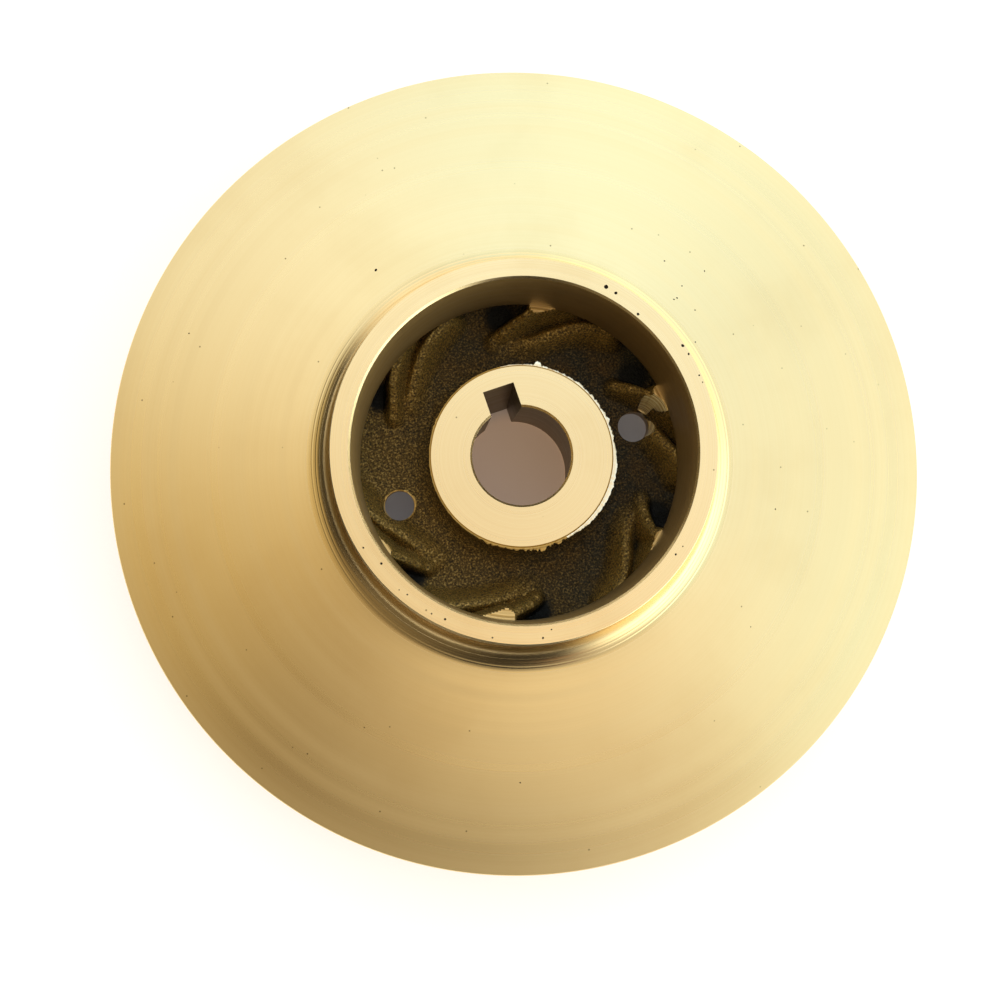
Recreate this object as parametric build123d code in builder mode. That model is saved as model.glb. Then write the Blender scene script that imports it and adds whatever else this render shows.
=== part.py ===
from build123d import *

import math
import os

# Closed pump impeller, cast in one piece and turned on its working surfaces.
# Millimetres, +Z along the shaft towards the suction eye. The origin is on the shaft axis,
# in the face of the hub that the impeller stands on. The keyway points along +Y.

# ---- driving dimensions: shrouds -------------------------------------------------
outer_diameter = 210.0          # over both shrouds, at the outlet
outlet_width = 5.6              # between the shrouds at the rim
front_shroud_edge = 3.2         # wall of the front shroud at the rim
back_shroud_wall = 3.7          # wall of the flat back shroud
shroud_cone_angle = 11.5        # slope of the front shroud's outer face, degrees
waterway_roof_angle = 4.7       # slope of the front shroud's inner face, degrees

# ---- driving dimensions: hub and shaft seat ---------------------------------------------
hub_diameter = 45.8
hub_length = 40.4
hub_chamfer = 0.5               # both ends, outside
boss_height = 13.5              # hub standing proud behind the back shroud
bore_front_diameter = 24.5      # small end of the taper, at the eye
bore_back_diameter = 29.0       # large end of the taper, where the shaft comes in
bore_chamfer = 0.5              # both ends of the taper
keyway_width = 8.0
keyway_reach = 18.0             # shaft axis to the keyway's flat bottom
hub_root_radius = 6.0           # cast sweep from the hub's side to the waterway floor

# ---- driving dimensions: wear rings and eye ---------------------------------------------
wear_ring_diameter = 91.6       # over the running lands, front and back
ring_wall = 5.1                 # of both wear rings, so that the eye is 81.4 across
front_ring_rise = 27.7          # ring face above the rim's front edge
eye_bore_depth = 23.8           # turned depth of the eye below the ring face
collar_height = 1.4             # upright collar between the running land and the flare
ring_shoulder = 0.7             # step out from the running land to the collar
flare_radius = 6.5              # sweep from the collar to the shroud's cone
throat_lip_radius = 4.6         # reach of the cast lip where the eye turns into the waterway
ring_outer_chamfer = 0.5
ring_inner_chamfer = 0.9
back_ring_setback = 2.0         # back ring's face short of the hub's face
back_ring_chamfer = 0.6
back_root_slope = 1.8           # sloped corners between the back shroud, its ring and the hub
rim_edge_break = 0.25

# ---- driving dimensions: balance holes --------------------------------------------------
balance_hole_count = 2
balance_hole_diameter = 8.2
balance_circle_diameter = 66.2

# ---- driving dimensions: vanes ----------------------------------------------------------
vane_angle = 25.5               # between the vane and the tangent, degrees
vane_wall = 4.0                 # thickness at the roof of the waterway
vane_draft = 2.0                # extra thickness gained down to the floor
vane_phase = 7.6                # mean direction of a vane where it leaves the eye, degrees
vane_root_inset = 7.7           # from the eye's wall in to where a nose meets the floor
nose_facets = 4                 # flats that round a vane's nose
# Each vane's core sat a little off its place in the mould: its turn in degrees, and how far
# in from the eye's wall its nose reaches at the turned bottom of the eye, starting from +X.
vane_drift = (-1.6, -3.4, -3.6, 6.9, -2.1, 3.9)
vane_tip_inset = (2.1, 2.0, -0.5, 1.2, 2.4, 1.1)

# ---- derived places ---------------------------------------------------------------------
outer_radius = outer_diameter / 2
hub_radius = hub_diameter / 2
ring_radius = wear_ring_diameter / 2
eye_radius = ring_radius - ring_wall
collar_radius = ring_radius + ring_shoulder
back_ring_inner = ring_radius - ring_wall
back_ring_face = back_ring_setback
floor_height = boss_height + back_shroud_wall
roof_edge_height = floor_height + outlet_width
rim_front_height = roof_edge_height + front_shroud_edge
ring_face_height = rim_front_height + front_ring_rise
throat_height = ring_face_height - eye_bore_depth
cone_rise = math.tan(math.radians(shroud_cone_angle))
roof_rise = math.tan(math.radians(waterway_roof_angle))
overcut = 2.0                   # how far a cutting shape runs past the face it opens
vane_count = len(vane_drift)


def cone_height(radius):
    """Height of the front shroud's outer face at a radius."""
    return rim_front_height + (outer_radius - radius) * cone_rise


def roof_height(radius):
    """Height of the waterway's roof, the front shroud's inner face, at a radius."""
    return roof_edge_height + (outer_radius - radius) * roof_rise


# The flare is an arc tangent to the upright collar and to the sloping cone.
cone_slope = math.radians(shroud_cone_angle)
flare_reach = flare_radius * (1 - math.sin(cone_slope))
flare_end_radius = collar_radius + flare_reach
flare_end_height = cone_height(flare_end_radius)
flare_start_height = flare_end_height + flare_radius * math.cos(cone_slope)
flare_mid_turn = (math.pi / 2 - cone_slope) / 2
flare_mid_radius = collar_radius + flare_radius * (1 - math.cos(flare_mid_turn))
flare_mid_height = flare_start_height - flare_radius * math.sin(flare_mid_turn)
collar_top_height = flare_start_height + collar_height

# ---- blank: the turned outside of the casting, still solid between the shrouds ----------
with BuildPart() as blank:
    with BuildSketch(Plane.XZ):
        with BuildLine():
            Polyline(
                (flare_end_radius, flare_end_height),
                (outer_radius, rim_front_height),
                (outer_radius, boss_height),
                (ring_radius, boss_height),
                (ring_radius, back_ring_face),
                (back_ring_inner, back_ring_face),
                (back_ring_inner, boss_height),
                (hub_radius, boss_height),
                (hub_radius, 0),
                (0, 0),
                (0, ring_face_height),
                (ring_radius, ring_face_height),
                (ring_radius, collar_top_height + ring_shoulder),
                (collar_radius, collar_top_height),
                (collar_radius, flare_start_height),
            )
            ThreePointArc(
                (collar_radius, flare_start_height),
                (flare_mid_radius, flare_mid_height),
                (flare_end_radius, flare_end_height),
            )
        make_face()
    revolve(axis=Axis.Z)

    circles = blank.edges().filter_by(GeomType.CIRCLE)
    back_roots = circles.filter_by_position(Axis.Z, boss_height - 0.01, boss_height + 0.01)
    chamfer(back_roots.filter_by(lambda edge: edge.radius < outer_radius - 1), back_root_slope)

    circles = blank.edges().filter_by(GeomType.CIRCLE)
    chamfer(circles.filter_by_position(Axis.Z, -0.01, 0.01), hub_chamfer)
    circles = blank.edges().filter_by(GeomType.CIRCLE)
    back_lips = circles.filter_by_position(Axis.Z, back_ring_face - 0.01, back_ring_face + 0.01)
    chamfer(back_lips, back_ring_chamfer)
    circles = blank.edges().filter_by(GeomType.CIRCLE)
    ring_lip = circles.filter_by_position(Axis.Z, ring_face_height - 0.01, ring_face_height + 0.01)
    chamfer(ring_lip, ring_outer_chamfer)
    circles = blank.edges().filter_by(GeomType.CIRCLE)
    chamfer(circles.filter_by(lambda edge: edge.radius > outer_radius - 0.01), rim_edge_break)


def spiral_place(radius):
    """The place of a vane's middle line at a radius, and the direction it faces outwards.

    The middle line is a logarithmic spiral, which meets every circle at the vane angle. It
    leaves the eye along +X and turns clockwise on its way out, seen from the eye.
    """
    slope = math.radians(vane_angle)
    turn = -math.log(radius / eye_radius) / math.tan(slope)
    return radius * math.cos(turn), radius * math.sin(turn), turn + slope


def flank_point(radius, side):
    """A point on a vane's flank: side is the distance from its middle line, + outwards."""
    x, y, facing = spiral_place(radius)
    return x + side * math.cos(facing), y + side * math.sin(facing)


def nose_points(radius, half_wall):
    """Points round a vane's nose from its outer flank to its inner one, about its centre."""
    x, y, facing = spiral_place(radius)
    turns = [facing + math.pi * step / nose_facets for step in range(nose_facets + 1)]
    return [(x + half_wall * math.cos(turn), y + half_wall * math.sin(turn)) for turn in turns]


def flank(nose_radius, side):
    """Points along one flank, spaced evenly in turn from the nose to beyond the rim."""
    tail_radius = outer_radius + overcut
    ratio = tail_radius / nose_radius
    steps = 7
    return [flank_point(nose_radius * ratio ** (step / steps), side) for step in range(steps + 1)]


def vane(tip_inset):
    """One vane as a tapering wall whose round nose leans from the roof down to the floor."""
    base_height = floor_height - overcut
    top_height = throat_height + overcut
    # The nose and the wall are stated at the floor and at the turned bottom of the eye, and
    # carried on in a straight line to the two planes that the loft spans.
    rise = throat_height - floor_height
    nose_lean = (vane_root_inset - tip_inset) / rise
    wall_lean = vane_draft / rise
    with BuildPart() as wall:
        for height in (base_height, top_height):
            half_wall = (vane_wall + (throat_height - height) * wall_lean) / 2
            nose = eye_radius - tip_inset + half_wall - (throat_height - height) * nose_lean
            outer_flank = flank(nose, half_wall)
            inner_flank = flank(nose, -half_wall)
            with BuildSketch(Plane.XY.offset(height)):
                with BuildLine():
                    Spline(*outer_flank)
                    Line(outer_flank[-1], inner_flank[-1])
                    Spline(*inner_flank)
                    Polyline(*nose_points(nose, half_wall))
                make_face()
        loft(ruled=True)
    return wall.part


vanes = [vane(tip_inset) for tip_inset in vane_tip_inset]

# ---- waterway: the room between the shrouds, less the vanes -----------------------------
# Its two cast sweeps, at the hub's root and at the throat's lip, are each two broad cones
# through the sweep's middle, where it has turned through half a right angle.
half_turn = math.sqrt(0.5)
hub_root_step = hub_root_radius * (1 - half_turn)
roof_start_radius = eye_radius + throat_lip_radius
roof_start_height = roof_height(roof_start_radius)
lip_drop = throat_height - roof_start_height
with BuildPart() as waterway:
    with BuildSketch(Plane.XZ):
        with BuildLine():
            Polyline(
                (roof_start_radius, roof_start_height),
                (outer_radius + overcut, roof_height(outer_radius + overcut)),
                (outer_radius + overcut, floor_height),
                (hub_radius + hub_root_radius, floor_height),
                (hub_radius + hub_root_step, floor_height + hub_root_step),
                (hub_radius, floor_height + hub_root_radius),
                (hub_radius, throat_height),
                (eye_radius, throat_height),
                (roof_start_radius - half_turn * throat_lip_radius, throat_height - half_turn * lip_drop),
                close=True,
            )
        make_face()
    revolve(axis=Axis.Z)
    for number, solid in enumerate(vanes):
        turn = vane_phase + vane_drift[number] + number * 360 / vane_count
        with Locations(Location((0, 0, 0), (0, 0, turn))):
            add(solid, mode=Mode.SUBTRACT)


def is_bore_mouth(edge):
    """Whether an edge is the round mouth of the shaft bore, at either face of the hub."""
    at_front = abs(edge.radius - bore_front_diameter / 2) < 0.01
    at_back = abs(edge.radius - bore_back_diameter / 2) < 0.01
    return at_front or at_back


# ---- impeller ---------------------------------------------------------------------------
with BuildPart() as impeller:
    add(blank.part)
    add(waterway.part, mode=Mode.SUBTRACT)

    # The eye is bored down to the throat round the hub, which also trims the vane tips.
    with BuildSketch(Plane.XY.offset(throat_height)):
        Circle(eye_radius)
        Circle(hub_radius, mode=Mode.SUBTRACT)
    extrude(amount=eye_bore_depth + overcut, mode=Mode.SUBTRACT)
    with BuildSketch(Plane.XY.offset(hub_length)):
        Circle(eye_radius)
    extrude(amount=ring_face_height - hub_length + overcut, mode=Mode.SUBTRACT)

    # Tapered shaft bore, open at both ends, with its taper carried past both faces.
    bore_lean = (bore_front_diameter - bore_back_diameter) / 2 / hub_length
    with BuildSketch(Plane.XZ):
        Polygon(
            (0, -overcut),
            (bore_back_diameter / 2 - overcut * bore_lean, -overcut),
            (bore_front_diameter / 2 + overcut * bore_lean, hub_length + overcut),
            (0, hub_length + overcut),
            align=None,
        )
    revolve(axis=Axis.Z, mode=Mode.SUBTRACT)

    # Keyway, through from end to end and flat-bottomed along the axis.
    with BuildSketch(Plane.XY.offset(-overcut)):
        with Locations((0, keyway_reach / 2)):
            Rectangle(keyway_width, keyway_reach)
    extrude(amount=hub_length + 2 * overcut, mode=Mode.SUBTRACT)

    # Balance holes, drilled from the eye through the back shroud.
    with BuildSketch(Plane.XY.offset(boss_height - overcut)):
        with PolarLocations(balance_circle_diameter / 2, balance_hole_count):
            Circle(balance_hole_diameter / 2)
    extrude(amount=throat_height - boss_height + 2 * overcut, mode=Mode.SUBTRACT)

    # Edges broken after boring: the hub's front face, the ring's mouth and the back of the bore.
    circles = impeller.edges().filter_by(GeomType.CIRCLE)
    front_rims = circles.filter_by_position(Axis.Z, hub_length - 0.01, hub_length + 0.01)
    chamfer(front_rims.filter_by(lambda edge: edge.radius > hub_radius - 0.01), hub_chamfer)
    circles = impeller.edges().filter_by(GeomType.CIRCLE)
    ends = circles.filter_by_position(Axis.Z, -0.01, hub_length + 0.01)
    chamfer(ends.filter_by(is_bore_mouth), bore_chamfer)
    circles = impeller.edges().filter_by(GeomType.CIRCLE)
    mouth = circles.filter_by_position(Axis.Z, ring_face_height - 0.01, ring_face_height + 0.01)
    chamfer(mouth.filter_by(lambda edge: edge.radius < eye_radius + 0.01), ring_inner_chamfer)

impeller.part.label = "impeller"
os.makedirs("parts", exist_ok=True)
export_step(impeller.part, "parts/impeller.step")
print("volume", impeller.part.volume, "height", impeller.part.bounding_box().size.Z)
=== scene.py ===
"""The looks of a closed pump impeller, cast in brass in one piece and turned on a lathe.

Everything is in metres in the part's own frame: +Z runs along the shaft towards the suction
eye, the keyway points along +Y, and the impeller stands on its hub's back face at z = 0.
"""

import logging
import math
from collections.abc import Callable, Sequence
from dataclasses import dataclass, field
from enum import Enum
from functools import partial

import bmesh
import bpy
from bmesh.types import BMesh, BMVert
from mathutils import Matrix, Vector, noise


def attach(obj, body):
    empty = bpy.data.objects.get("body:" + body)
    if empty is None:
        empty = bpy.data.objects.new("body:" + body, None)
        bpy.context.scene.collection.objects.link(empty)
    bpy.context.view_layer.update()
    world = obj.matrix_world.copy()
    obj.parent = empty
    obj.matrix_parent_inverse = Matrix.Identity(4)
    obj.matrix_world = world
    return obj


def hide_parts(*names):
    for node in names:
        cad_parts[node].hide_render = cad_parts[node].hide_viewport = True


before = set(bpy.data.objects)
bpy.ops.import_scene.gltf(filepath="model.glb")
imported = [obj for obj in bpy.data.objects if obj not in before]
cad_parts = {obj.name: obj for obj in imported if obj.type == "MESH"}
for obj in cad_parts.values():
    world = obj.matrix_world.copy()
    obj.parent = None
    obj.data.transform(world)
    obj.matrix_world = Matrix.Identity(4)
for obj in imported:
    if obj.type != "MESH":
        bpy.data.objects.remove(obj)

MM = 0.001
TURN = 2 * math.pi
SHARP_DEG = 24.0
Pair = tuple[float, float]
Triple = tuple[float, float, float]
LOG = logging.getLogger("impeller")


# ---- colour and shader helpers -------------------------------------------------------


def linear(hex_colour: str) -> tuple[float, float, float, float]:
    """Turns an sRGB hex colour into the linear colour that shaders take.

    Args:
        hex_colour: The colour as "#rrggbb".

    Returns:
        Linear red, green, blue, and an alpha of 1.
    """
    channels = [int(hex_colour[place:place + 2], 16) / 255 for place in (1, 3, 5)]
    red, green, blue = (
        value / 12.92 if value <= 0.04045 else ((value + 0.055) / 1.055) ** 2.4
        for value in channels
    )
    return red, green, blue, 1.0


def add_node(
    tree: bpy.types.NodeTree,
    kind: str,
    inputs: dict[str | int, object] | None = None,
    **settings: object,
) -> bpy.types.Node:
    """Adds a node with its settings, its socket values and the links into it.

    Args:
        tree: The node tree that the node goes into.
        kind: The node's type name in Blender, without its "ShaderNode".
        inputs: For each input, by name or number: a value, an output socket, or a node
            whose first output in use is linked.
        **settings: The node's own properties.

    Returns:
        The new node.
    """
    made = tree.nodes.new(f"ShaderNode{kind}")
    for name, value in settings.items():
        setattr(made, name, value)
    for key, value in (inputs or {}).items():
        if isinstance(value, bpy.types.Node):
            value = next(output for output in value.outputs if output.enabled)
        if isinstance(value, bpy.types.NodeSocket):
            tree.links.new(value, made.inputs[key])
        else:
            made.inputs[key].default_value = value
    return made


def new_material(name: str) -> tuple[bpy.types.Material, bpy.types.NodeTree]:
    """Starts a material with an empty node tree.

    Args:
        name: The material's name.

    Returns:
        The material and its tree.
    """
    made = bpy.data.materials.new(name)
    made.use_nodes = True
    made.node_tree.nodes.clear()
    return made, made.node_tree


class TurnedFrom(Enum):
    """Which way a turning tool travelled: how its lines follow the radius and the height."""

    FACING = (1.0, 0.0)
    SLIDING = (0.0, 1.0)
    SWEEPING = (1.0, 0.8)


@dataclass(frozen=True)
class BareBrass:
    """Brass straight off the lathe: warm yellow metal under fine concentric tool lines.

    The lines give the eye a satin sheen that is calm along the cut and broken across it. The
    tool's own feed of about 0.15 mm is too fine to show, so the lines are drawn two to six
    times as coarse.
    """

    name: str
    colour: str = "#e9ce97"
    line_colour: str = "#dfbf82"
    roughness: float = 0.28
    line_mm: float = 0.35
    line_depth_mm: float = 0.006
    line_show: float = 0.35
    travel: TurnedFrom = TurnedFrom.SWEEPING
    speck_cover: float = 0.0
    speck_gap_mm: float = 3.1
    speck_colour: str = "#5b4526"
    stain_mm: float = 34.0
    stain_colour: str = "#c79f5d"
    stain_cover: float = 0.25
    dulled: float = 0.0

    def build(self) -> bpy.types.Material:
        """Builds the material.

        Returns:
            The finished material.
        """
        made, tree = new_material(self.name)
        node = partial(add_node, tree)
        place = node("TexCoord").outputs["Object"]
        split = node("SeparateXYZ", {0: place})
        flat = node("CombineXYZ", {0: split.outputs[0], 1: split.outputs[1]})
        radius = node("VectorMath", {0: flat}, operation="LENGTH")
        # How far the tool had travelled when it cut this place, in metres.
        across, along = self.travel.value
        risen = node("Math", {0: split.outputs[2], 1: along}, operation="MULTIPLY")
        passed = node("Math", {0: radius, 1: across, 2: risen}, operation="MULTIPLY_ADD")
        # Tool lines: uneven from line to line, but each runs right round the part.
        fine = node(
            "TexNoise",
            {"W": passed, "Scale": 1 / (self.line_mm * MM), "Detail": 3.0, "Roughness": 0.6},
            noise_dimensions="1D",
        )
        broad = node(
            "TexNoise", {"W": passed, "Scale": 0.11 / (self.line_mm * MM), "Detail": 2.0},
            noise_dimensions="1D",
        )
        lines = node(
            "MapRange",
            {"Value": fine, "From Min": 0.36, "From Max": 0.66, "To Max": self.line_show},
        )
        # Handling stains: soft patches a finger wide, a shade deeper than the bare metal.
        stain = node(
            "TexNoise",
            {"Vector": place, "Scale": 1 / (self.stain_mm * MM), "Detail": 4.0,
             "Roughness": 0.55},
        )
        stained = node(
            "MapRange",
            {"Value": stain, "From Min": 0.45, "From Max": 0.75, "To Max": self.stain_cover},
            interpolation_type="SMOOTHSTEP",
        )
        # Gas specks: dark pinpricks about 0.3 mm across, a few to the square centimetre.
        cells = node("TexVoronoi", {"Vector": place, "Scale": 1 / (self.speck_gap_mm * MM)})
        chance = node("SeparateColor", {0: cells.outputs["Color"]})
        chosen = node("Math", {0: chance, 1: self.speck_cover}, operation="LESS_THAN")
        near = node(
            "MapRange",
            {"Value": cells, "From Min": 0.035, "From Max": 0.09, "To Min": 0.85, "To Max": 0.0},
        )
        speck = node("Math", {0: chosen, 1: near}, operation="MULTIPLY")
        coloured = linear(self.colour)
        for share, colour in (
            (lines, self.line_colour), (stained, self.stain_colour), (speck, self.speck_colour)
        ):
            coloured = node(
                "Mix", {"Factor": share, 6: coloured, 7: linear(colour)}, data_type="RGBA"
            )
        rough = node(
            "MapRange",
            {"Value": broad, "From Min": 0.3, "From Max": 0.7,
             "To Min": self.roughness - 0.04, "To Max": self.roughness + 0.05},
        )
        height = node("Math", {0: broad, 1: 0.6, 2: fine}, operation="MULTIPLY_ADD")
        grooved = node("Bump", {"Distance": self.line_depth_mm * MM, "Height": height})
        surface = node(
            "BsdfPrincipled",
            {"Base Color": coloured, "Metallic": 1.0 - self.dulled, "Roughness": rough,
             "Normal": grooved},
        )
        node("OutputMaterial", {"Surface": surface})
        return made


@dataclass(frozen=True)
class CastBrass:
    """Brass as it leaves a sand mould: a dull olive-brown oxide skin with bare grains.

    The skin is matt and takes the light softly, while each bare grain glints by itself, so
    the whole looks dusty and sparkling at once. Dirt between the grains darkens it, and in the
    corners of the passages behind the vane noses it is painted nearly black as painted shade.
    Moulding sand of about 0.25 mm is too fine to show, so the grains are drawn twice as coarse.
    """

    name: str
    skin_colour: str = "#383426"
    warm_colour: str = "#533f20"
    worn_and_lit_colour: str = "#8a6b2e"
    dirt_and_shade_colour: str = "#1b1a15"
    bare_colour: str = "#d8b066"
    roughness: float = 0.5
    grain_mm: float = 0.52
    grain_depth_mm: float = 0.34
    patch_mm: float = 9.0
    bare_from: float = 0.55

    def build(self) -> bpy.types.Material:
        """Builds the material.

        Returns:
            The finished material.
        """
        made, tree = new_material(self.name)
        node = partial(add_node, tree)
        place = node("TexCoord").outputs["Object"]
        scale = 1 / (self.grain_mm * MM)
        grains = node("TexVoronoi", {"Vector": place, "Scale": scale}, feature="SMOOTH_F1")
        mixed = node(
            "TexNoise", {"Vector": place, "Scale": scale, "Detail": 3.0, "Roughness": 0.6}
        )
        patches = node(
            "TexNoise",
            {"Vector": place, "Scale": 1 / (self.patch_mm * MM), "Detail": 4.0,
             "Roughness": 0.6},
        )
        warm = node("MapRange", {"Value": patches, "From Min": 0.40, "From Max": 0.62})
        # Bare grains: the high spots where the oxide has rubbed off.
        bare = node(
            "MapRange",
            {"Value": mixed, "From Min": self.bare_from, "From Max": self.bare_from + 0.06},
        )
        # The ridges that the water runs over are rubbed back to a golden brown, and one side of
        # the floor is painted golden as painted light.
        worn_and_lit = node("Attribute", attribute_name="worn_and_lit").outputs["Fac"]
        # Painted shade: the passages' corners behind the vane noses take the dark colour.
        shade_share = node("Attribute", attribute_name="painted_shade").outputs["Fac"]
        unshaded_skin = node(
            "MapRange",
            {"Value": shade_share, "From Max": 0.75, "To Min": 1.0, "To Max": 0.0},
            interpolation_type="SMOOTHSTEP",
        )
        cover = node("MapRange", {"Value": worn_and_lit, "To Min": 0.16})
        allowed = node("Math", {0: cover, 1: unshaded_skin}, operation="MULTIPLY")
        bared = node("Math", {0: bare, 1: allowed}, operation="MULTIPLY")
        # Dirt between the grains darkens the skin.
        dirt = node(
            "MapRange",
            {"Value": mixed, "From Min": 0.36, "From Max": 0.5, "To Min": 0.8, "To Max": 0.0},
        )
        # Layer by layer: its share, and its colour over the skin so far or under it.
        skin, dirt_and_shade = linear(self.skin_colour), linear(self.dirt_and_shade_colour)
        for share, over, under in (
            (warm, linear(self.warm_colour), None), (worn_and_lit, linear(self.worn_and_lit_colour), None),
            (unshaded_skin, None, dirt_and_shade), (dirt, dirt_and_shade, None), (bared, linear(self.bare_colour), None),
        ):
            skin = node(
                "Mix", {"Factor": share, 6: under or skin, 7: over or skin}, data_type="RGBA"
            )
        height = node("Math", {0: grains, 1: -0.6, 2: mixed}, operation="MULTIPLY_ADD")
        grainy = node("Bump", {"Distance": self.grain_depth_mm * MM, "Height": height})
        rough = node(
            "MapRange",
            {"Value": mixed, "From Min": 0.4, "From Max": 0.7,
             "To Min": self.roughness + 0.15, "To Max": self.roughness - 0.15},
        )
        surface = node(
            "BsdfPrincipled",
            {"Base Color": skin, "Metallic": bared, "Roughness": rough, "Normal": grainy,
             "Specular IOR Level": 0.2},
        )
        node("OutputMaterial", {"Surface": surface})
        return made


class Finishes:
    """The impeller's finishes, each built once."""

    def __init__(self) -> None:
        """Builds every finish."""
        # Turned with a fine feed: calm and satin, with only the faintest lines.
        self.shroud = BareBrass(
            "fine_turned_brass_shroud", roughness=0.29, line_mm=0.5, line_show=0.12,
            line_depth_mm=0.002, speck_cover=0.14, stain_cover=0.14,
        ).build()
        # Faced across: fine rings under a flat bright sheen.
        self.face = BareBrass(
            "faced_brass", colour="#ead09c", line_colour="#dfbf86", roughness=0.30,
            line_mm=0.28, travel=TurnedFrom.FACING, speck_cover=0.12, stain_cover=0.22,
        ).build()
        # Swept by a form tool: deeper lines, so dark and bright bands run round the collar.
        self.flare = BareBrass(
            "swept_brass_flare", roughness=0.22, line_mm=0.45, line_depth_mm=0.006,
            line_show=0.45,
        ).build()
        # Edges broken by hand: a narrow bright line.
        self.edge = BareBrass(
            "edge_broken_brass", colour="#f4dca6", line_colour="#ecd096", roughness=0.25,
            line_mm=0.25, line_show=0.2, stain_cover=0.05,
        ).build()
        # Bored, then oiled and tarnished: dull brown.
        self.bore = BareBrass(
            "bored_brass", colour="#9c7d4b", line_colour="#8a6c3e", roughness=0.42,
            line_mm=0.4, travel=TurnedFrom.SLIDING, stain_colour="#6d5430", stain_cover=0.5,
            dulled=0.6,
        ).build()
        # Bored and broached: dull, and its colour painted darker still as painted shade for the
        # shade inside the hub.
        self.shaded_bore = BareBrass(
            "bored_brass_in_painted_shade", colour="#6f5c34", line_colour="#604f2c", roughness=0.42,
            line_mm=0.4, travel=TurnedFrom.SLIDING, stain_colour="#4a3a22", stain_cover=0.6,
            dulled=0.5,
        ).build()
        # Cast tips bored off flat: bright slivers with coarse lines.
        self.trimmed = BareBrass(
            "bored_off_vane_tip", colour="#f2d08c", line_colour="#b98f4a", roughness=0.3,
            line_mm=0.55, line_depth_mm=0.03, line_show=0.7, travel=TurnedFrom.FACING,
            stain_cover=0.1,
        ).build()
        # Drilled: coarse bright rings down the hole.
        self.drilled = BareBrass(
            "drilled_brass", colour="#e0bd7c", line_colour="#9d7a42", roughness=0.32,
            line_mm=0.7, line_depth_mm=0.04, line_show=0.6, travel=TurnedFrom.SLIDING,
            dulled=0.3,
        ).build()
        # The drill chattered where it broke out sideways: coarse ridges, painted pale and mostly
        # matt as a painted highlight for the glint they catch.
        self.slip_glint = BareBrass(
            "drill_slip_painted_glint", colour="#ffeaae", line_colour="#a87c34", roughness=0.28,
            line_mm=0.8, line_depth_mm=0.08, line_show=0.85, travel=TurnedFrom.SLIDING,
            stain_cover=0.1, dulled=0.72,
        ).build()
        # Left as the sand mould gave it: matt, dark and grainy, with shade and light painted on
        # the floor.
        self.cast = CastBrass("sand_cast_brass").build()
        # The hub's edge under the burr keeps a rim of golden tarnish.
        self.rubbed = BareBrass(
            "tarnished_brass_edge", colour="#c9983f", line_colour="#a87a2c", roughness=0.4,
            line_mm=0.3, line_show=0.3, stain_cover=0.3, dulled=0.7,
        ).build()
        # Torn over the edge by the facing tool: crumpled fresh metal, painted near-white and
        # partly matt as a painted highlight.
        self.torn = BareBrass(
            "torn_brass_burr", colour="#fff6dc", line_colour="#e8c88a", roughness=0.3,
            line_mm=0.9, line_depth_mm=0.05, line_show=0.6, stain_cover=0.2, dulled=0.4,
        ).build()
        # Lifted by the drill and tarnished: darker gold. On the hub's burr it is also the painted
        # shade of the side away from the light.
        self.lifted = BareBrass(
            "drill_lifted_brass", colour="#c8a055", line_colour="#8a6a32", roughness=0.35,
            line_mm=0.9, line_depth_mm=0.05, line_show=0.8, stain_cover=0.4, dulled=0.35,
        ).build()
        # Gas pits keep their oxide: nearly black.
        self.pit = CastBrass(
            "gas_pit_in_brass", skin_colour="#2b2116", warm_colour="#33261a",
            dirt_and_shade_colour="#17120c", bare_colour="#6a5028", roughness=0.6, grain_mm=0.3,
            grain_depth_mm=0.05, bare_from=0.75,
        ).build()


# ---- mesh helpers --------------------------------------------------------------------


def polar(radius: float, direction: float) -> Pair:
    """The place at a distance from the axis, in a direction in degrees from +X."""
    turn = math.radians(direction)
    return radius * math.cos(turn), radius * math.sin(turn)


def turn_between(direction: float, other: float) -> float:
    """How far apart two directions are, the short way round, in degrees."""
    return abs((direction - other + 180) % 360 - 180)


def close_ring(
    made: BMesh,
    rows: Sequence[Sequence[BMVert]],
    finish: Callable[[int, int], int] = lambda segment, place: 0,
) -> None:
    """Joins rows of vertices that stand round the axis into a closed ring of faces.

    Args:
        made: The mesh that holds the vertices.
        rows: The same section at each step round the axis.
        finish: Gives a face's finish from its step round the axis and its place in the row.
    """
    count = len(rows[0])
    for segment, here in enumerate(rows):
        ahead = rows[(segment + 1) % len(rows)]
        for place in range(count):
            after = (place + 1) % count
            face = made.faces.new((here[place], ahead[place], ahead[after], here[after]))
            face.material_index = finish(segment, place)
            face.smooth = True
    bmesh.ops.recalc_face_normals(made, faces=made.faces)


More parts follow.
